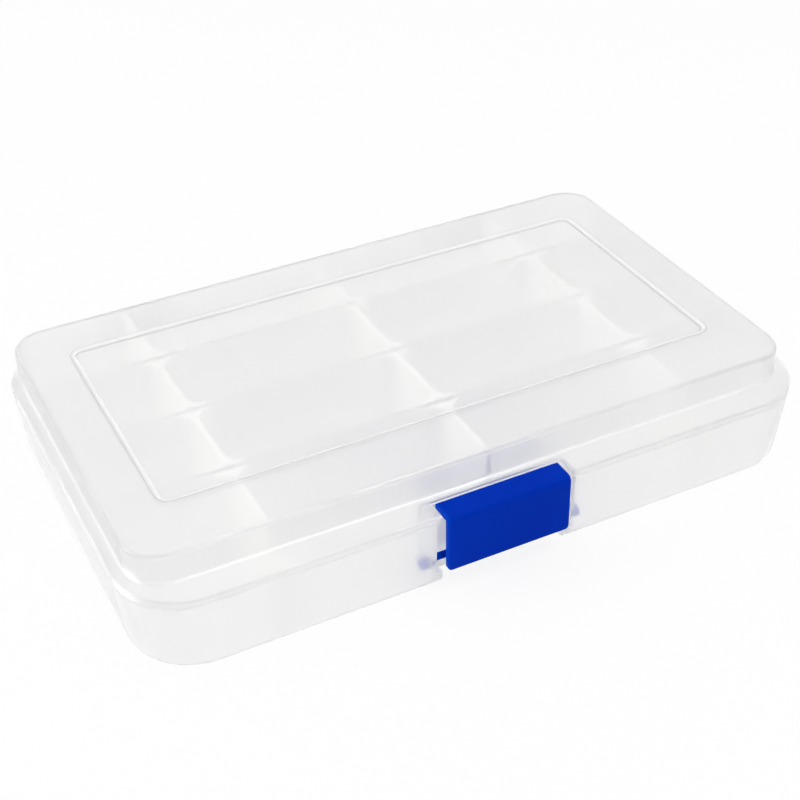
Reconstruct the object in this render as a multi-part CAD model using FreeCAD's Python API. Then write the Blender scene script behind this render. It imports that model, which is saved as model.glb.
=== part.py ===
"""Flat compartment box with a hinged lid, a swinging front latch and lift-out dividers.

Millimetres. X runs along the front, Y from front to back and Z up from the surface the box
stands on. The origin is the centre of the underside of the base tray.
"""
import FreeCAD, Part
import os

Vector = FreeCAD.Vector

# Base tray
BOX_LENGTH = 198.0
BOX_WIDTH = 123.0
BOX_HEIGHT = 32.2
RIM_HEIGHT = 21.6
CORNER_RADIUS = 18.0
BASE_WALL = 1.5
FLOOR = 1.5
BASE_EDGE_RADIUS = 3.0
RIM_EDGE_RADIUS = 0.5
END_LEAN = 2.0
LONG_WALL_LEAN = 1.1
FLOOR_BITE = 0.3

# Lid
LID_WALL = 1.4
LEDGE_RISE = 2.1
SIDE_LEDGE = 3.3
BACK_LEDGE = 3.3
FRONT_LEDGE = 8.6
CROWN_CORNER_RADIUS = 10.0
CROWN_EDGE_RADIUS = 1.4
LEDGE_EDGE_RADIUS = 0.6
CROWN_FOOT_RADIUS = 0.8
PARTING_GAP = 0.2
PANEL_SIDE_BORDER = 13.2
PANEL_BACK_BORDER = 15.3
PANEL_FRONT_BORDER = 18.6
PANEL_DEPTH = 0.5
PANEL_SLOPE = 1.6
PANEL_CORNER_RADIUS = 4.0

# Lanes and dividers
LANE_CENTRE = 2.0
LANE_PITCH = 28.0
LANE_WALL = 1.3
LANE_COUNT = 3
STATION_PITCH = 60.8
DIVIDER_THICKNESS = 1.4
DIVIDER_FOOT = 1.0
FLARE_RADIUS = 4.0
END_CLEARANCE = 0.2
HEADROOM = 0.5
CROWN_CLEARANCE = 0.6
KEY_WIDTH = 1.0
KEY_HEIGHT = 0.6
KEY_DROP = 1.0
TOP_EDGE_RADIUS = 0.4

# Latch
LATCH_WIDTH = 36.0
LATCH_PLATE = 1.6
LATCH_PROUD = 1.8
LATCH_BOTTOM = 6.2
LATCH_SIDE_GAP = 1.2
LATCH_EDGE_RADIUS = 0.5
LATCH_FOLD_RADIUS = 1.8
LATCH_CORNER_RADIUS = 1.2
SWING_GAP = 0.4
SILL_HEIGHT = 4.4
CHEEK_WALL = 1.0
HOOK_REACH = 7.2
HOOK_GAP = 0.4
LIP_THICKNESS = 1.3
LIP_REACH = 1.8
RISER_THICKNESS = 1.2
HEAD_CLEARANCE = 0.3
PIVOT_HEIGHT = 6.9
BARREL_RADIUS = 2.0
BARREL_LENGTH = 28.0
TRUNNION_RADIUS = 1.0
TRUNNION_REACH = 2.2
TRUNNION_HEAD_RADIUS = 1.65
TRUNNION_HEAD_LENGTH = 2.0
RUNNING_CLEARANCE = 0.1

# Hinges
HINGE_SPREAD = 110.0
KNUCKLE_RADIUS = 2.6
KNUCKLE_LENGTH = 12.0
LUG_LENGTH = 5.0
LUG_DROP = 9.6
HINGE_GAP = 0.4
HINGE_PIN_RADIUS = 1.25
PUSH_FIT = 0.02

# Places worked out from the sizes above
LEDGE_HEIGHT = RIM_HEIGHT + LEDGE_RISE
FRONT = -BOX_WIDTH / 2
BACK = BOX_WIDTH / 2
INNER_X = BOX_LENGTH / 2 - BASE_WALL - END_LEAN
INNER_FRONT = FRONT + BASE_WALL + LONG_WALL_LEAN
INNER_BACK = BACK - BASE_WALL - LONG_WALL_LEAN
CROWN_LENGTH = BOX_LENGTH - 2 * SIDE_LEDGE
CROWN_FRONT = FRONT + FRONT_LEDGE
CROWN_BACK = BACK - BACK_LEDGE
CROWN_CENTRE = (CROWN_FRONT + CROWN_BACK) / 2
CROWN_WIDTH = CROWN_BACK - CROWN_FRONT
UPPER_X = CROWN_LENGTH / 2 - LID_WALL - CROWN_CLEARANCE
UPPER_FRONT = CROWN_FRONT + LID_WALL + CROWN_CLEARANCE
UPPER_BACK = CROWN_BACK - LID_WALL - CROWN_CLEARANCE
WALL_TOP = BOX_HEIGHT - LID_WALL - PANEL_DEPTH - HEADROOM
SKIRT_BOTTOM = RIM_HEIGHT + PARTING_GAP
LATCH_FRONT = FRONT - LATCH_PROUD
HOOK_BACK = LATCH_FRONT + HOOK_REACH
HOOK_BOTTOM = LEDGE_HEIGHT - LATCH_PLATE
RISER_FRONT = HOOK_BACK + HOOK_GAP
RISER_BACK = RISER_FRONT + RISER_THICKNESS
CATCH_HALF = LATCH_WIDTH / 2 + LATCH_SIDE_GAP
POCKET_HALF = LATCH_WIDTH / 2 + TRUNNION_REACH
HEAD_START = POCKET_HALF + CHEEK_WALL + HEAD_CLEARANCE
HEAD_END = HEAD_START + TRUNNION_HEAD_LENGTH
POCKET_BACK = RISER_BACK + HOOK_GAP
POCKET_INNER = POCKET_BACK + BASE_WALL
LIP_TOP = HOOK_BOTTOM - HOOK_GAP
LIP_BOTTOM = LIP_TOP - LIP_THICKNESS
PIVOT_LEAN = LONG_WALL_LEAN * (1 - PIVOT_HEIGHT / RIM_HEIGHT)
PIVOT_Y = FRONT + BASE_WALL + PIVOT_LEAN + TRUNNION_HEAD_RADIUS + HEAD_CLEARANCE
LIP_FRONT = PIVOT_Y - LIP_REACH
HINGE_Y = BACK + KNUCKLE_RADIUS + HINGE_GAP
HINGE_Z = RIM_HEIGHT
OVERRUN = 1.0
TOLERANCE = 1e-6


def block(x_low, x_high, y_low, y_high, z_low, z_high):
    """A box between two corners."""
    return Part.makeBox(x_high - x_low, y_high - y_low, z_high - z_low, Vector(x_low, y_low, z_low))


def rod_x(radius, x_low, x_high, y, z):
    """A round rod along X."""
    return Part.makeCylinder(radius, x_high - x_low, Vector(x_low, y, z), Vector(1, 0, 0))


def flat_edges(shape, z):
    """The edges of a shape that lie in the level plane at height z."""
    return [edge for edge in shape.Edges
            if abs(edge.BoundBox.ZMin - z) < TOLERANCE and abs(edge.BoundBox.ZMax - z) < TOLERANCE]


def rounded_prism(length, width, radius, y_centre, z_low, z_high):
    """An upright prism with a rounded rectangle as its plan."""
    prism = block(-length / 2, length / 2, y_centre - width / 2, y_centre + width / 2, z_low, z_high)
    uprights = [edge for edge in prism.Edges if edge.BoundBox.ZLength > (z_high - z_low) / 2]
    return prism.makeFillet(radius, uprights)


def lofted_prism(plans):
    """A solid between two rounded rectangles, each given as length, width, radius, centre and height."""
    wires = []
    for length, width, radius, y_centre, z in plans:
        slab = rounded_prism(length, width, radius, y_centre, z, z + OVERRUN)
        wires.append(min(slab.Faces, key=lambda face: face.CenterOfMass.z).OuterWire)
    return Part.makeLoft(wires, True, True)


def lane_places():
    """The middle of each lane wall, from front to back."""
    return [LANE_CENTRE + LANE_PITCH * (i - (LANE_COUNT - 1) / 2) for i in range(LANE_COUNT)]


def station_places():
    """The middle of each row of dividers, from left to right."""
    return {"left": -STATION_PITCH, "middle": 0.0, "right": STATION_PITCH}


def hinge_places():
    """The middle of each hinge along X."""
    return {"left": -HINGE_SPREAD / 2, "right": HINGE_SPREAD / 2}


def front_wall_face(x):
    """The inner face of the front wall at the floor: it steps in behind the latch pocket."""
    if abs(x) < POCKET_HALF + CHEEK_WALL:
        return POCKET_INNER
    return INNER_FRONT


def tray_prism(inset, z_low, z_high):
    """The plan of the tray drawn in by an inset, its walls leaning out from the floor to the rim."""
    plans = []
    for z in (z_low, z_high):
        drop = 1 - z / RIM_HEIGHT
        length = BOX_LENGTH - 2 * (inset + END_LEAN * drop)
        width = BOX_WIDTH - 2 * (inset + LONG_WALL_LEAN * drop)
        plans.append((length, width, CORNER_RADIUS - inset, 0.0, z))
    return lofted_prism(plans)


def tray_shell():
    """The outer walls and floor of the base, with a soft bottom edge and rim."""
    outer = tray_prism(0.0, 0.0, RIM_HEIGHT)
    outer = outer.makeFillet(BASE_EDGE_RADIUS, flat_edges(outer, 0.0))
    outer = outer.makeFillet(RIM_EDGE_RADIUS, flat_edges(outer, RIM_HEIGHT))
    return outer.cut(tray_prism(BASE_WALL, FLOOR, RIM_HEIGHT + OVERRUN))


def rooted(shape):
    """A shape trimmed to end inside the outer walls."""
    return shape.common(tray_prism(BASE_WALL / 2, 0.0, RIM_HEIGHT))


def lane_wall(y):
    """One lengthwise wall: its lower part joins the ends, its upper part stands inside the lid."""
    y_low = y - LANE_WALL / 2
    y_high = y + LANE_WALL / 2
    root = FLOOR - FLOOR_BITE
    lower = block(-BOX_LENGTH / 2, BOX_LENGTH / 2, y_low, y_high, root, RIM_HEIGHT - RIM_EDGE_RADIUS)
    upper = block(-UPPER_X, UPPER_X, y_low, y_high, root, WALL_TOP)
    upper = upper.makeFillet(TOP_EDGE_RADIUS, flat_edges(upper, WALL_TOP))
    return rooted(lower).fuse(upper)


def key(x, y_face, side, depth, z_top):
    """One upright locating key that stands proud of a wall face towards +Y or -Y."""
    root = y_face - side * depth
    tip = y_face + side * KEY_HEIGHT
    half = KEY_WIDTH / 2
    return block(x - half, x + half, min(root, tip), max(root, tip), FLOOR - FLOOR_BITE, z_top)


def divider_keys():
    """The keys that hold every divider at both ends."""
    low_top = RIM_HEIGHT - RIM_EDGE_RADIUS
    high_top = WALL_TOP - KEY_DROP
    half = LANE_WALL / 2
    keys = []
    for x in station_places().values():
        front = front_wall_face(x)
        front_depth = BASE_WALL + LONG_WALL_LEAN if front == INNER_FRONT else BASE_WALL / 2
        keys.append(rooted(key(x, front, 1, front_depth, low_top)))
        keys.append(rooted(key(x, INNER_BACK, -1, BASE_WALL + LONG_WALL_LEAN, low_top)))
        for y in lane_places():
            keys.append(key(x, y + half, 1, half, high_top))
            keys.append(key(x, y - half, -1, half, high_top))
    return keys


def pocket_walls():
    """The material round the latch pocket, before the pocket is cut."""
    half = POCKET_HALF + CHEEK_WALL
    low = FLOOR - FLOOR_BITE
    return rooted(block(-half, half, FRONT, POCKET_INNER, low, RIM_HEIGHT - RIM_EDGE_RADIUS))


def pocket_cuts():
    """The latch pocket, open to the front and the top, its narrower way out below and its two pivot holes."""
    front = FRONT - OVERRUN
    room = block(-POCKET_HALF, POCKET_HALF, front, POCKET_BACK, SILL_HEIGHT, RIM_HEIGHT + OVERRUN)
    way = LATCH_WIDTH / 2 + SWING_GAP
    below = block(-way, way, front, POCKET_BACK, -OVERRUN, RIM_HEIGHT)
    reach = POCKET_HALF + CHEEK_WALL + OVERRUN
    holes = rod_x(TRUNNION_RADIUS + RUNNING_CLEARANCE, -reach, reach, PIVOT_Y, PIVOT_HEIGHT)
    return [room, below, holes]


def lug_spans(x):
    """The X spans of the two base lugs of the hinge at x."""
    near = KNUCKLE_LENGTH / 2 + HINGE_GAP
    far = near + LUG_LENGTH
    return [(x - far, x - near), (x + near, x + far)]


def hinge_lug(x_low, x_high):
    """One base lug: a round eye on a sloping bracket off the back wall, bored for the pin."""
    root = BACK - BASE_WALL / 2
    tip = HINGE_Y + KNUCKLE_RADIUS
    shoulder = HINGE_Z - RIM_EDGE_RADIUS
    outline = [(root, HINGE_Z - LUG_DROP), (root, shoulder), (HINGE_Y, shoulder), (HINGE_Y, HINGE_Z),
               (tip, HINGE_Z), (tip, shoulder)]
    points = [Vector(x_low, y, z) for y, z in outline]
    face = Part.Face(Part.makePolygon(points + points[:1]))
    bracket = face.extrude(Vector(x_high - x_low, 0, 0))
    eye = rod_x(KNUCKLE_RADIUS, x_low, x_high, HINGE_Y, HINGE_Z)
    bore = rod_x(HINGE_PIN_RADIUS + PUSH_FIT, x_low - OVERRUN, x_high + OVERRUN, HINGE_Y, HINGE_Z)
    return bracket.fuse(eye).cut(bore)


def base_tray():
    """The whole base moulding."""
    tray = tray_shell()
    added = [lane_wall(y) for y in lane_places()] + [pocket_walls()] + divider_keys()
    tray = tray.multiFuse(added)
    for cutter in pocket_cuts():
        tray = tray.cut(cutter)
    lugs = [hinge_lug(*span) for x in hinge_places().values() for span in lug_spans(x)]
    return tray.multiFuse(lugs).removeSplitter()


def in_crown(point):
    """Whether a point lies within the plan of the crown."""
    inside_x = abs(point.x) < CROWN_LENGTH / 2 + TOLERANCE
    return inside_x and CROWN_FRONT - TOLERANCE < point.y < CROWN_BACK + TOLERANCE


def lid_shell():
    """The raised crown and the ledge round it, hollow below."""
    crown = rounded_prism(CROWN_LENGTH, CROWN_WIDTH, CROWN_CORNER_RADIUS, CROWN_CENTRE,
                          LEDGE_HEIGHT - LID_WALL, BOX_HEIGHT)
    crown = crown.makeFillet(CROWN_EDGE_RADIUS, flat_edges(crown, BOX_HEIGHT))
    ledge = rounded_prism(BOX_LENGTH, BOX_WIDTH, CORNER_RADIUS, 0.0, SKIRT_BOTTOM, LEDGE_HEIGHT)
    ledge = ledge.makeFillet(LEDGE_EDGE_RADIUS, flat_edges(ledge, LEDGE_HEIGHT))
    crown_room = rounded_prism(CROWN_LENGTH - 2 * LID_WALL, CROWN_WIDTH - 2 * LID_WALL,
                               CROWN_CORNER_RADIUS - LID_WALL, CROWN_CENTRE,
                               SKIRT_BOTTOM - OVERRUN, BOX_HEIGHT - LID_WALL)
    ledge_room = rounded_prism(BOX_LENGTH - 2 * LID_WALL, BOX_WIDTH - 2 * LID_WALL, CORNER_RADIUS - LID_WALL,
                               0.0, SKIRT_BOTTOM - OVERRUN, LEDGE_HEIGHT - LID_WALL)
    cover = crown.fuse(ledge)
    foot = [edge for edge in flat_edges(cover, LEDGE_HEIGHT) if in_crown(edge.CenterOfMass)]
    return cover.makeFillet(CROWN_FOOT_RADIUS, foot).cut(crown_room).cut(ledge_room)


def sunk_panel(lid):
    """Sinks the large panel in the crown behind a sloping border and drops the underside by as much."""
    length = CROWN_LENGTH - 2 * PANEL_SIDE_BORDER
    front = CROWN_FRONT + PANEL_FRONT_BORDER
    back = CROWN_BACK - PANEL_BACK_BORDER
    centre = (front + back) / 2
    under = BOX_HEIGHT - LID_WALL
    pad = rounded_prism(length, back - front, PANEL_CORNER_RADIUS, centre, under - PANEL_DEPTH,
                        under + LID_WALL / 2)
    plans = []
    for rise in (-PANEL_DEPTH, PANEL_DEPTH):
        grow = PANEL_SLOPE * rise / PANEL_DEPTH
        plans.append((length + 2 * grow, back - front + 2 * grow, PANEL_CORNER_RADIUS + grow, centre,
                      BOX_HEIGHT + rise))
    return lid.fuse(pad).cut(lofted_prism(plans))


def latch_catch(lid):
    """Notches the front ledge for the latch and adds the low lip that the hook holds down."""
    half = CATCH_HALF + LID_WALL
    cheeks = block(-half, half, FRONT + LEDGE_EDGE_RADIUS, RISER_BACK, SKIRT_BOTTOM,
                   LEDGE_HEIGHT - LEDGE_EDGE_RADIUS)
    notch = block(-CATCH_HALF, CATCH_HALF, FRONT - OVERRUN, RISER_BACK, SKIRT_BOTTOM - OVERRUN,
                  LEDGE_HEIGHT + OVERRUN)
    lip_half = CATCH_HALF - HOOK_GAP
    lip = block(-lip_half, lip_half, LIP_FRONT, RISER_BACK, LIP_BOTTOM, LIP_TOP)
    riser = block(-lip_half, lip_half, RISER_FRONT, RISER_BACK, LIP_BOTTOM, LEDGE_HEIGHT)
    tie_bottom = LEDGE_HEIGHT - LID_WALL
    tie = block(-half, half, RISER_FRONT, RISER_BACK + OVERRUN, tie_bottom, LEDGE_HEIGHT)
    return lid.fuse(cheeks).cut(notch).multiFuse([lip, riser, tie])


def lid_knuckle(x):
    """One lid knuckle with its arm to the ledge, before it is bored."""
    x_low = x - KNUCKLE_LENGTH / 2
    x_high = x + KNUCKLE_LENGTH / 2
    eye = rod_x(KNUCKLE_RADIUS, x_low, x_high, HINGE_Y, HINGE_Z)
    arm = block(x_low, x_high, BACK - LID_WALL / 2, HINGE_Y, SKIRT_BOTTOM, LEDGE_HEIGHT - LEDGE_EDGE_RADIUS)
    bore_radius = HINGE_PIN_RADIUS + RUNNING_CLEARANCE
    bore = rod_x(bore_radius, x_low - OVERRUN, x_high + OVERRUN, HINGE_Y, HINGE_Z)
    return eye.fuse(arm).cut(bore)


def lid():
    """The whole lid moulding."""
    cover = latch_catch(sunk_panel(lid_shell()))
    knuckles = [lid_knuckle(x) for x in hinge_places().values()]
    return cover.multiFuse(knuckles).removeSplitter()


def on_fold(edge):
    """Whether an edge is the outer corner where the latch plate turns into its hook."""
    return (edge.CenterOfMass - Vector(0, LATCH_FRONT, LEDGE_HEIGHT)).Length < TOLERANCE


def on_rim(edge):
    """Whether an edge runs round the border of the latch's outer skin."""
    middle = edge.valueAt((edge.FirstParameter + edge.LastParameter) / 2)
    fold = Vector(middle.x, LATCH_FRONT + LATCH_FOLD_RADIUS, LEDGE_HEIGHT - LATCH_FOLD_RADIUS)
    on_plate = abs(middle.y - LATCH_FRONT) < TOLERANCE
    on_hook = abs(middle.z - LEDGE_HEIGHT) < TOLERANCE
    on_bend = abs((middle - fold).Length - LATCH_FOLD_RADIUS) < TOLERANCE
    at_side = abs(middle.x) > BARREL_LENGTH / 2
    at_end = middle.z < LATCH_BOTTOM + TOLERANCE or middle.y > HOOK_BACK - TOLERANCE
    return (on_plate or on_hook or on_bend) and (at_side or at_end)


def latch():
    """The latch: a front plate with a hook along its top and a barrel with headed pivots below."""
    half = LATCH_WIDTH / 2
    plate = block(-half, half, LATCH_FRONT, LATCH_FRONT + LATCH_PLATE, LATCH_BOTTOM, LEDGE_HEIGHT)
    hook = block(-half, half, LATCH_FRONT, HOOK_BACK, HOOK_BOTTOM, LEDGE_HEIGHT)
    clip = plate.fuse(hook).removeSplitter()
    clip = clip.makeFillet(LATCH_FOLD_RADIUS, [edge for edge in clip.Edges if on_fold(edge)])
    corners = [edge for edge in flat_edges(clip, LATCH_BOTTOM) if edge.BoundBox.XLength < TOLERANCE]
    clip = clip.makeFillet(LATCH_CORNER_RADIUS, corners)
    clip = clip.makeFillet(LATCH_EDGE_RADIUS, [edge for edge in clip.Edges if on_rim(edge)])
    reach = BARREL_LENGTH / 2
    barrel = rod_x(BARREL_RADIUS, -reach, reach, PIVOT_Y, PIVOT_HEIGHT)
    web = block(-reach, reach, LATCH_FRONT + LATCH_PLATE / 2, PIVOT_Y, LATCH_BOTTOM + LATCH_EDGE_RADIUS,
                PIVOT_HEIGHT + BARREL_RADIUS)
    neck = rod_x(TRUNNION_RADIUS, -HEAD_START, HEAD_START, PIVOT_Y, PIVOT_HEIGHT)
    heads = [rod_x(TRUNNION_HEAD_RADIUS, low, high, PIVOT_Y, PIVOT_HEIGHT)
             for low, high in ((-HEAD_END, -HEAD_START), (HEAD_START, HEAD_END))]
    return clip.multiFuse([barrel, web, neck] + heads).removeSplitter()


def hinge_pin(x):
    """The pin of the hinge at x, flush with the outer faces of its two lugs."""
    half = KNUCKLE_LENGTH / 2 + HINGE_GAP + LUG_LENGTH
    return rod_x(HINGE_PIN_RADIUS, x - half, x + half, HINGE_Y, HINGE_Z)


def flared_end(x, y_end, side, z_top):
    """The widened end of a divider at y_end, with hollow flares running back towards side."""
    half = DIVIDER_THICKNESS / 2 + FLARE_RADIUS
    depth = DIVIDER_FOOT + FLARE_RADIUS
    inner = y_end + side * depth
    foot = block(x - half, x + half, min(y_end, inner), max(y_end, inner), FLOOR, z_top)
    for offset in (-half, half):
        foot = foot.cut(Part.makeCylinder(FLARE_RADIUS, z_top, Vector(x + offset, inner, 0)))
    return foot


def divider(x, y_front, y_back, front_is_wall, back_is_wall):
    """One divider plate between two wall faces, stepped in under the lid where a face is an outer wall."""
    low = y_front + END_CLEARANCE
    high = y_back - END_CLEARANCE
    step = RIM_HEIGHT - RIM_EDGE_RADIUS
    half = DIVIDER_THICKNESS / 2
    plate = block(x - half, x + half, low, high, FLOOR, step)
    upper_low = UPPER_FRONT if front_is_wall else low
    upper_high = UPPER_BACK if back_is_wall else high
    upper = block(x - half, x + half, upper_low, upper_high, FLOOR, WALL_TOP)
    front_end = flared_end(x, low, 1, step if front_is_wall else WALL_TOP)
    back_end = flared_end(x, high, -1, step if back_is_wall else WALL_TOP)
    shape = plate.multiFuse([upper, front_end, back_end]).removeSplitter()
    shape = shape.makeFillet(TOP_EDGE_RADIUS, flat_edges(shape, WALL_TOP))
    slot_half = KEY_WIDTH / 2 + END_CLEARANCE
    for y_face, side in ((y_front, 1), (y_back, -1)):
        tip = y_face + side * (KEY_HEIGHT + END_CLEARANCE)
        slot = block(x - slot_half, x + slot_half, min(y_face, tip), max(y_face, tip), 0, BOX_HEIGHT)
        shape = shape.cut(slot)
    return shape.removeSplitter()


def dividers():
    """Every divider by name, from the front row to the back row."""
    lanes = lane_places()
    rows = ("front", "near", "far", "back")
    shapes = {}
    for column, x in station_places().items():
        fronts = [front_wall_face(x)] + [y + LANE_WALL / 2 for y in lanes]
        backs = [y - LANE_WALL / 2 for y in lanes] + [INNER_BACK]
        for i, row in enumerate(rows):
            shapes[f"divider_{row}_{column}"] = divider(x, fronts[i], backs[i], i == 0, i == len(rows) - 1)
    return shapes


def main():
    """Builds every piece and writes each to its own file."""
    pieces = {"base_tray": base_tray(), "lid": lid(), "latch": latch()}
    for side, x in hinge_places().items():
        pieces[f"hinge_pin_{side}"] = hinge_pin(x)
    pieces.update(dividers())
    os.makedirs("parts", exist_ok=True)
    for name, shape in pieces.items():
        print(name, len(shape.Solids), shape.isValid(), round(shape.Volume, 1))
        shape.exportStep(f"parts/{name}.step")


main()
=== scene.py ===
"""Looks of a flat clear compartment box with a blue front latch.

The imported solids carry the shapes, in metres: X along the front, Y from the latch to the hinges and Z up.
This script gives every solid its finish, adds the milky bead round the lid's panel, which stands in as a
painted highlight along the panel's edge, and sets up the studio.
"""
import logging
import math
from dataclasses import dataclass
from enum import Enum
from typing import Any, Mapping, Sequence, Union

import bmesh
import bpy
from mathutils import Euler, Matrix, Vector


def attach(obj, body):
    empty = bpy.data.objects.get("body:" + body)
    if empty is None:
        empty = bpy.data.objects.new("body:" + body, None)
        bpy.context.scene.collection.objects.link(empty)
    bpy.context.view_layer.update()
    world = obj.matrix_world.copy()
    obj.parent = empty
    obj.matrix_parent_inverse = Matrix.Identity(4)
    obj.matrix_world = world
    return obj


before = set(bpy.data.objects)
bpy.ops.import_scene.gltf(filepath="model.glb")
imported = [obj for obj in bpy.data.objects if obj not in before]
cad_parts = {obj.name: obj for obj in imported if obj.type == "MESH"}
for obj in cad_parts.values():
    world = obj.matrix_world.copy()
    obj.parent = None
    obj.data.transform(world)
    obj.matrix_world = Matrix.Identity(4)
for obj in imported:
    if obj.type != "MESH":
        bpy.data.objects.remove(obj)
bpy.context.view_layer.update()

LOG = logging.getLogger("compartment_box")
MM = 0.001
PLASTIC_IOR = 1.49
COAT_SHARE = 0.45
COAT_ROUGHNESS = 0.05
SKIN_DEPTH = 0.00002
WIRE_STREAK_DEPTH = 0.000008
Number = Union[int, float]
Triple = tuple[float, float, float]
Colour = Triple
Term = Union["Wire", Number, Sequence[Number]]


class Sum(Enum):
    """The sums that wires can take part in."""

    ADD = "ADD"
    SUBTRACT = "SUBTRACT"
    MULTIPLY = "MULTIPLY"


class Wire:
    """An output socket that takes part in shader sums.

    Values go through Math nodes, vectors through Vector Math nodes and colours through Mix nodes.
    """

    def __init__(self, sheet: "NodeSheet", socket: bpy.types.NodeSocket) -> None:
        """Keeps the socket and the sheet that its nodes belong to.

        Args:
            sheet: The node sheet that new nodes are added to.
            socket: The output socket.
        """
        self.sheet = sheet
        self.socket = socket

    def also(self, output: str) -> "Wire":
        """Another output of the same node.

        Args:
            output: The name of that output.

        Returns:
            The other output as a wire.
        """
        return Wire(self.sheet, find_socket(self.socket.node.outputs, output))

    def _sum(self, operation: Sum, left: Term, right: Term) -> "Wire":
        """Adds the node for one sum.

        Args:
            operation: The sum.
            left: The first term.
            right: The second term.

        Returns:
            The result as a wire.
        """
        kinds = {term.socket.type for term in (left, right) if isinstance(term, Wire)}
        if "RGBA" in kinds:
            return self.sheet.node("ShaderNodeMix", {"data_type": "RGBA", "blend_type": operation.value},
                                   {"Factor_Float": 1.0, "A_Color": left, "B_Color": right}, "Result_Color")
        if "VECTOR" in kinds:
            return self.sheet.node("ShaderNodeVectorMath", {"operation": operation.value},
                                   {"Vector": left, "Vector_001": right})
        return self.sheet.node("ShaderNodeMath", {"operation": operation.value},
                               {"Value": left, "Value_001": right})

    def __add__(self, other: Term) -> "Wire":
        """This plus another term."""
        return self._sum(Sum.ADD, self, other)

    def __radd__(self, other: Term) -> "Wire":
        """Another term plus this."""
        return self._sum(Sum.ADD, other, self)

    def __sub__(self, other: Term) -> "Wire":
        """This less another term."""
        return self._sum(Sum.SUBTRACT, self, other)

    def __rsub__(self, other: Term) -> "Wire":
        """Another term less this."""
        return self._sum(Sum.SUBTRACT, other, self)

    def __mul__(self, other: Term) -> "Wire":
        """This times another term."""
        return self._sum(Sum.MULTIPLY, self, other)

    def __rmul__(self, other: Term) -> "Wire":
        """Another term times this."""
        return self._sum(Sum.MULTIPLY, other, self)

    def __abs__(self) -> "Wire":
        """The size of this value, without its sign."""
        return self.sheet.node("ShaderNodeMath", {"operation": "ABSOLUTE"}, {"Value": self})

    def fade(self, low: Number, high: Number) -> "Wire":
        """A smooth step from 0 at low to 1 at high.

        Args:
            low: The value at which the step starts.
            high: The value at which the step ends.

        Returns:
            The step as a wire.
        """
        return self.sheet.node("ShaderNodeMapRange", {"interpolation_type": "SMOOTHSTEP"},
                               {"Value": self, "From Min": low, "From Max": high})


def find_socket(sockets: Any, name: str) -> bpy.types.NodeSocket:
    """Finds a node's socket by its identifier or its name.

    Args:
        sockets: The inputs or the outputs of a node.
        name: The identifier or the name.

    Returns:
        The socket.
    """
    for socket in sockets:
        if socket.identifier == name:
            return socket
    return sockets[name]


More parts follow.
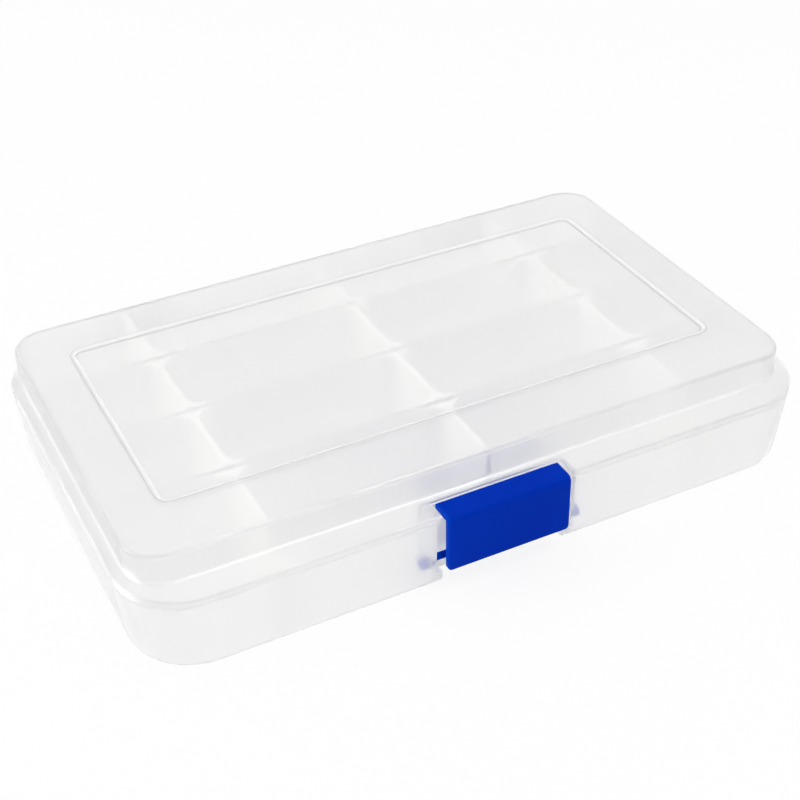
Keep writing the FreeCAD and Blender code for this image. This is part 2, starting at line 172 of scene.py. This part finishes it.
class NodeSheet:
    """The node tree of one material or world, with one short call for any node."""

    def __init__(self, tree: bpy.types.NodeTree) -> None:
        """Empties the tree.

        Args:
            tree: The node tree to fill.
        """
        self.tree = tree
        tree.nodes.clear()

    def node(self, kind: str, settings: Mapping[str, Any] | None = None,
             sockets: Mapping[str, Term] | None = None, output: str = "") -> Wire:
        """Adds a node, sets it up and feeds its sockets.

        Args:
            kind: The node's type.
            settings: The node's settings, set first.
            sockets: The value or the wire of each input.
            output: The name of the output wanted, or nothing for the first one.

        Returns:
            The output as a wire.
        """
        made = self.tree.nodes.new(kind)
        for name, value in (settings or {}).items():
            setattr(made, name, value)
        for name, value in (sockets or {}).items():
            socket = find_socket(made.inputs, name)
            if isinstance(value, Wire):
                self.tree.links.new(value.socket, socket)
            elif socket.type == "RGBA":
                shades = (value,) * 3 if isinstance(value, (int, float)) else tuple(value)
                socket.default_value = (*shades[:3], 1.0)
            elif socket.type == "VECTOR" and isinstance(value, (int, float)):
                socket.default_value = (value,) * 3
            else:
                socket.default_value = value
        if not made.outputs:
            return Wire(self, made.inputs[0])
        return Wire(self, find_socket(made.outputs, output) if output else made.outputs[0])

    def place(self) -> Wire:
        """The point on the piece, in metres."""
        return self.node("ShaderNodeTexCoord", output="Object")

    def noise(self, place: Wire, scale: float, detail: float = 3.0, warp: float = 0.0) -> Wire:
        """Cloudy noise.

        Args:
            place: The point on the piece.
            scale: How many clouds there are in a metre.
            detail: How many finer layers it has.
            warp: How much the clouds swirl.

        Returns:
            The noise, about 0.5.
        """
        return self.node("ShaderNodeTexNoise", {"noise_dimensions": "3D"},
                         {"Vector": place, "Scale": scale, "Detail": detail, "Distortion": warp})

    def scratches(self, place: Wire, turn: float, length: float, width: float, share: float) -> Wire:
        """Fine straight scratches in one direction.

        Args:
            place: The point on the piece.
            turn: The direction in the XY plane, in radians.
            length: About how long the scratches are, in metres.
            width: About how wide they are, in metres.
            share: The level of noise above which there is a scratch.

        Returns:
            A mask that is 1 in a scratch.
        """
        lane = self.node("ShaderNodeMapping", {"vector_type": "TEXTURE"},
                         {"Vector": place, "Rotation": (0.0, 0.0, turn), "Scale": (length, width, width)})
        return self.noise(lane, 1.0, 1.0).fade(share, share + 0.05)

    def blend(self, factor: Term, low: Term, high: Term) -> Wire:
        """A mix of two colours.

        Args:
            factor: 0 for the first and 1 for the second.
            low: The first colour.
            high: The second colour.

        Returns:
            The mixed colour.
        """
        return self.node("ShaderNodeMix", {"data_type": "RGBA"},
                         {"Factor_Float": factor, "A_Color": low, "B_Color": high}, "Result_Color")

    def bump(self, height: Term, depth: float) -> Wire:
        """The normal of a surface with fine relief.

        Args:
            height: The relief, from 0 to 1.
            depth: How deep the relief is, in metres.

        Returns:
            The normal.
        """
        return self.node("ShaderNodeBump", None, {"Height": height, "Distance": depth, "Strength": 1.0})

    def surface(self, sockets: Mapping[str, Term], lets_through: float = 0.0) -> None:
        """Closes a material with one Principled shader.

        Args:
            sockets: The value or the wire of each of the shader's inputs.
            lets_through: The share of lamp light that one skin of a clear piece lets through.
        """
        shader = self.node("ShaderNodeBsdfPrincipled", None, sockets)
        if lets_through:
            path = self.node("ShaderNodeLightPath", output="Is Shadow Ray")
            clear = self.node("ShaderNodeBsdfTransparent", None, {"Color": lets_through})
            shader = self.node("ShaderNodeMixShader", None, {"Fac": path + path.also("Is Diffuse Ray"),
                                                             "Shader": shader, "Shader_001": clear})
        self.node("ShaderNodeOutputMaterial", None, {"Surface": shader})


def new_sheet(name: str) -> tuple[bpy.types.Material, NodeSheet]:
    """Makes an empty node material.

    Args:
        name: The material's name.

    Returns:
        The material and its node sheet.
    """
    material = bpy.data.materials.new(name)
    material.use_nodes = True
    return material, NodeSheet(material.node_tree)


@dataclass(frozen=True)
class ClearPlastic:
    """Natural clear polypropylene: see-through, a little milky, with flow marks and fine scratches."""

    name: str
    pale: Colour
    dull: Colour
    clarity: float
    gloss_roughness: float
    haze_roughness: float
    scratch_share: float
    lets_through: float
    flow_scale: float = 34.0
    cloud_scale: float = 9.0
    grain_scale: float = 2600.0
    scratch_roughness: float = 0.06

    def material(self) -> bpy.types.Material:
        """Builds the node material.

        Returns:
            The material.
        """
        material, sheet = new_sheet(self.name)
        place = sheet.place()
        flow = sheet.noise(place, self.flow_scale, 5.0, 0.8).fade(0.3, 0.7)
        cloud = sheet.noise(place, self.cloud_scale, 2.0).fade(0.3, 0.7)
        fine = sheet.noise(place, self.grain_scale, 2.0)
        lines = (sheet.scratches(place, 0.35, 0.018, 0.00016, self.scratch_share)
                 + sheet.scratches(place, -0.9, 0.012, 0.00014, self.scratch_share + 0.02))
        tone = sheet.blend(flow * 0.6 + cloud * 0.4, self.pale, self.dull)
        span = self.haze_roughness - self.gloss_roughness
        rough = self.gloss_roughness + (flow * 0.7 + cloud * 0.3) * span
        relief = fine * 0.05 - lines * 0.06
        sheet.surface({
            "Base Color": tone,
            "Roughness": rough + lines * self.scratch_roughness,
            "IOR": PLASTIC_IOR,
            "Transmission Weight": self.clarity,
            "Coat Weight": COAT_SHARE,
            "Coat Roughness": COAT_ROUGHNESS,
            "Normal": sheet.bump(relief, SKIN_DEPTH),
        }, self.lets_through)
        return material


@dataclass(frozen=True)
class BluePlastic:
    """Opaque blue moulded polypropylene with a satin skin, a little paler along worn edges."""

    name: str
    blue: Colour
    deep: Colour
    worn: Colour
    half_width: float
    edge_width: float = 0.0009
    cloud_scale: float = 60.0
    grain_scale: float = 3800.0
    sheen: float = 0.015

    def material(self) -> bpy.types.Material:
        """Builds the node material.

        Returns:
            The material.
        """
        material, sheet = new_sheet(self.name)
        place = sheet.place()
        cloud = sheet.noise(place, self.cloud_scale, 3.0).fade(0.3, 0.7)
        grain = sheet.noise(place, self.grain_scale, 2.0)
        lines = sheet.scratches(place, 0.12, 0.01, 0.00012, 0.66)
        across = sheet.node("ShaderNodeSeparateXYZ", None, {"Vector": place}, "X")
        edge = abs(across).fade(self.half_width - self.edge_width, self.half_width)
        tone = sheet.blend(cloud, self.blue, self.deep)
        worn = sheet.blend(edge * (0.3 + cloud * 0.4) + lines * 0.15, tone, self.worn)
        sheet.surface({
            "Base Color": worn,
            "Roughness": 0.3 + cloud * 0.08 + grain * 0.06 - lines * 0.06,
            "IOR": PLASTIC_IOR,
            "Specular IOR Level": self.sheen,
            "Normal": sheet.bump(grain * 0.5 - lines * 0.3, SKIN_DEPTH),
        })
        return material


@dataclass(frozen=True)
class SteelWire:
    """Drawn steel wire with streaks along its length."""

    name: str
    bright: Colour
    dark: Colour
    cloud_scale: float = 240.0

    def material(self) -> bpy.types.Material:
        """Builds the node material.

        Returns:
            The material.
        """
        material, sheet = new_sheet(self.name)
        place = sheet.place()
        streak = sheet.scratches(place, 0.0, 0.02, 0.00012, 0.46)
        cloud = sheet.noise(place, self.cloud_scale, 3.0).fade(0.35, 0.65)
        sheet.surface({
            "Base Color": sheet.blend(cloud * 0.6 + streak * 0.4, self.bright, self.dark),
            "Metallic": 1.0,
            "Roughness": 0.22 + streak * 0.14 + cloud * 0.06,
            "Normal": sheet.bump(streak, WIRE_STREAK_DEPTH),
        })
        return material


LID_PLASTIC = ClearPlastic(
    "clear_lid_plastic", pale=(0.998, 0.998, 0.998), dull=(0.992, 0.992, 0.992), clarity=0.9,
    gloss_roughness=0.28, haze_roughness=0.3, scratch_share=0.7, lets_through=0.99)
BASE_PLASTIC = ClearPlastic(
    "clear_base_plastic", pale=(0.998, 0.998, 0.998), dull=(0.99, 0.99, 0.99), clarity=0.76,
    gloss_roughness=0.285, haze_roughness=0.32, scratch_share=0.7, lets_through=0.985)
DIVIDER_PLASTIC = ClearPlastic(
    "clear_divider_plastic", pale=(0.998, 0.998, 0.985), dull=(0.99, 0.99, 0.97), clarity=0.15,
    gloss_roughness=0.3, haze_roughness=0.38, scratch_share=0.72, lets_through=0.98)
# Milkier than the lid's plastic, so the bead round the lid's panel shows as a bright line: a painted
# highlight.
BORDER_HIGHLIGHT_PLASTIC = ClearPlastic(
    "painted_highlight_border_plastic", pale=(0.998, 0.998, 0.998), dull=(0.99, 0.99, 0.99), clarity=0.72,
    gloss_roughness=0.3, haze_roughness=0.36, scratch_share=0.7, lets_through=0.98)
LATCH_PLASTIC = BluePlastic(
    "blue_latch_plastic", blue=(0.0, 0.03, 0.43), deep=(0.0, 0.026, 0.39), worn=(0.0, 0.07, 0.6),
    half_width=0.018)
PIN_STEEL = SteelWire("drawn_pin_steel", (0.7, 0.71, 0.72), (0.5, 0.51, 0.53))


def dress(node: str, material: bpy.types.Material) -> None:
    """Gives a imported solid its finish.

    Args:
        node: The solid's name.
        material: The finish.
    """
    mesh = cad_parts[node].data
    mesh.materials.clear()
    mesh.materials.append(material)
    LOG.info("dressed %s in %s", node, material.name)


@dataclass
class Tray:
    """The base moulding with its hinge pins."""

    shell: str = "base_tray"
    pins: tuple[str, ...] = ("hinge_pin_left", "hinge_pin_right")

    def dress(self) -> None:
        """Gives the tray and the pins their finishes."""
        dress(self.shell, BASE_PLASTIC.material())
        steel = PIN_STEEL.material()
        for pin in self.pins:
            dress(pin, steel)


@dataclass
class Cover:
    """The lid moulding, with a milky bead round its sunk panel that stands in as a painted highlight along
    the panel's edge. Sizes are in millimetres.
    """

    shell: str = "lid"
    panel_half: float = 82.5
    panel_front: float = -34.3
    panel_back: float = 42.9
    panel_corner: float = 4.0
    corner_steps: int = 10
    bead: tuple[tuple[float, float], ...] = (
        (-0.15, 32.12), (0.15, 32.27), (0.6, 32.22), (1.1, 32.05), (1.55, 31.86), (1.85, 31.62),
        (0.85, 31.72))
    body: str = "lid"
    slot: str = "clear_lid"

    def dress(self) -> None:
        """Gives the lid its finish and adds the bead, a painted highlight round the panel."""
        dress(self.shell, LID_PLASTIC.material())
        # The bead's milky plastic paints a bright highlight line round the panel.
        self._border().data.materials.append(BORDER_HIGHLIGHT_PLASTIC.material())

    def _outline(self) -> list[tuple[Vector, Vector]]:
        """The run of the bead round the panel.

        Returns:
            Points on the panel's outline and the way inwards at each.
        """
        corner = self.panel_corner
        side = self.panel_half - corner
        turns = ((side, self.panel_back - corner), (-side, self.panel_back - corner),
                 (-side, self.panel_front + corner), (side, self.panel_front + corner))
        run = []
        for quarter, (x, y) in enumerate(turns):
            for step in range(self.corner_steps + 1):
                angle = math.pi / 2 * (quarter + step / self.corner_steps)
                out = Vector((math.cos(angle), math.sin(angle), 0.0))
                run.append((Vector((x, y, 0.0)) + out * corner, -out))
        return run

    def _border(self) -> bpy.types.Object:
        """Builds the bead, a painted highlight round the panel, as one closed ring.

        Returns:
            The bead, riding the lid.
        """
        work = bmesh.new()
        rings = [[work.verts.new((point + inward * depth + Vector((0.0, 0.0, height))) * MM)
                  for depth, height in self.bead] for point, inward in self._outline()]
        count = len(self.bead)
        for ring, following in zip(rings, rings[1:] + rings[:1]):
            for place in range(count):
                after = (place + 1) % count
                face = work.faces.new((ring[place], following[place], following[after], ring[after]))
                face.smooth = True
        bmesh.ops.recalc_face_normals(work, faces=work.faces)
        mesh = bpy.data.meshes.new("lid_panel_highlight_bead")
        work.to_mesh(mesh)
        work.free()
        border = bpy.data.objects.new("lid_panel_highlight_bead", mesh)
        bpy.context.scene.collection.objects.link(border)
        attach(border, self.body)
        LOG.info("built %s with %d faces", border.name, len(mesh.polygons))
        return border


@dataclass
class FrontLatch:
    """The swinging blue latch."""

    clip: str = "latch"

    def dress(self) -> None:
        """Gives the latch its finish."""
        dress(self.clip, LATCH_PLASTIC.material())


@dataclass
class DividerSet:
    """The lift-out dividers, by row and column."""

    rows: tuple[str, ...] = ("front", "near", "far", "back")
    columns: tuple[str, ...] = ("left", "middle", "right")

    def dress(self) -> None:
        """Gives every divider its finish."""
        plastic = DIVIDER_PLASTIC.material()
        for row in self.rows:
            for column in self.columns:
                dress(f"divider_{row}_{column}", plastic)


@dataclass(frozen=True)
class Softbox:
    """One large soft lamp that points at the box."""

    name: str
    place: Triple
    size: float
    power: float

    def build(self, aim: Vector) -> None:
        """Adds the lamp.

        Args:
            aim: The point that the lamp faces.
        """
        lamp = bpy.data.lights.new(self.name, "AREA")
        lamp.shape = "SQUARE"
        lamp.size = self.size
        lamp.energy = self.power
        holder = bpy.data.objects.new(self.name, lamp)
        holder.location = self.place
        holder.rotation_mode = "QUATERNION"
        holder.rotation_quaternion = (aim - Vector(self.place)).to_track_quat("-Z", "Y")
        bpy.context.scene.collection.objects.link(holder)


@dataclass
class Studio:
    """The pale floor, the white surroundings, the soft lamps and the camera."""

    floor_half: float = 3.0
    floor_colour: Colour = (0.92, 0.92, 0.92)
    floor_glow: float = 0.84
    sky_light: float = 0.75
    floor_drop: float = 0.0002
    lamps: tuple[Softbox, ...] = (Softbox("left_softbox", (-0.9, 0.35, 0.5), 0.5, 3.0),
                                  Softbox("top_softbox", (0.3, -0.4, 1.0), 0.5, 2.9))
    lamp_aim: Triple = (0.0, 0.0, 0.015)
    eye: Triple = (-0.15528, -0.31597, 0.26496)
    turn_degrees: Triple = (54.53769, 1.05317, -26.98202)
    lens: float = 67.85
    sensor: float = 36.0
    clear_bounces: int = 48
    matt_bounces: int = 16

    def build(self) -> None:
        """Sets up the whole studio."""
        self._floor()
        self._sky()
        for lamp in self.lamps:
            lamp.build(Vector(self.lamp_aim))
        self._camera()
        scene = bpy.context.scene
        scene.view_settings.view_transform = "Standard"
        scene.cycles.use_denoising = True
        scene.cycles.max_bounces = self.clear_bounces
        scene.cycles.transmission_bounces = self.clear_bounces
        scene.cycles.transparent_max_bounces = self.clear_bounces
        scene.cycles.glossy_bounces = self.clear_bounces
        scene.cycles.diffuse_bounces = self.matt_bounces

    @staticmethod
    def _seen(sheet: NodeSheet) -> Wire:
        """1 for a ray that shows the surroundings: a camera, glossy or transmission ray.

        Args:
            sheet: The node sheet to add to.

        Returns:
            The share as a wire.
        """
        path = sheet.node("ShaderNodeLightPath", output="Is Camera Ray")
        seen = path + path.also("Is Glossy Ray") + path.also("Is Transmission Ray")
        return seen.fade(0.0, 1.0)

    def _floor(self) -> None:
        """Adds the pale floor, which keeps the shadow of the box."""
        mesh = bpy.data.meshes.new("studio_floor")
        half = self.floor_half
        corners = [(-half, -half, 0.0), (half, -half, 0.0), (half, half, 0.0), (-half, half, 0.0)]
        mesh.from_pydata(corners, [], [(0, 1, 2, 3)])
        floor = bpy.data.objects.new("studio_floor", mesh)
        floor.location.z = -self.floor_drop
        bpy.context.scene.collection.objects.link(floor)
        material, sheet = new_sheet("pale_floor")
        glow = self._seen(sheet) * self.floor_glow
        matt = sheet.node("ShaderNodeBsdfDiffuse", None, {"Color": self.floor_colour})
        light = sheet.node("ShaderNodeEmission", None, {"Color": 1.0, "Strength": 1.0})
        both = sheet.node("ShaderNodeMixShader", None, {"Fac": glow, "Shader": matt, "Shader_001": light})
        sheet.node("ShaderNodeOutputMaterial", None, {"Surface": both})
        mesh.materials.append(material)

    def _sky(self) -> None:
        """Surrounds the box with even light that looks white."""
        world = bpy.data.worlds.new("studio_sky")
        world.use_nodes = True
        bpy.context.scene.world = world
        sheet = NodeSheet(world.node_tree)
        strength = self.sky_light + self._seen(sheet) * (1.0 - self.sky_light)
        light = sheet.node("ShaderNodeBackground", None, {"Color": 1.0, "Strength": strength})
        sheet.node("ShaderNodeOutputWorld", None, {"Surface": light})

    def _camera(self) -> None:
        """Adds the camera at the viewing angle."""
        data = bpy.data.cameras.new("studio_camera")
        data.lens = self.lens
        data.sensor_width = self.sensor
        data.clip_start = 0.01
        camera = bpy.data.objects.new("studio_camera", data)
        camera.location = self.eye
        camera.rotation_euler = Euler([math.radians(angle) for angle in self.turn_degrees], "XYZ")
        bpy.context.scene.collection.objects.link(camera)
        bpy.context.scene.camera = camera


def main() -> None:
    """Dresses the box and sets up the studio, in order."""
    logging.basicConfig(level=logging.INFO)
    Tray().dress()
    Cover().dress()
    FrontLatch().dress()
    DividerSet().dress()
    Studio().build()


if __name__ == "__main__":
    main()
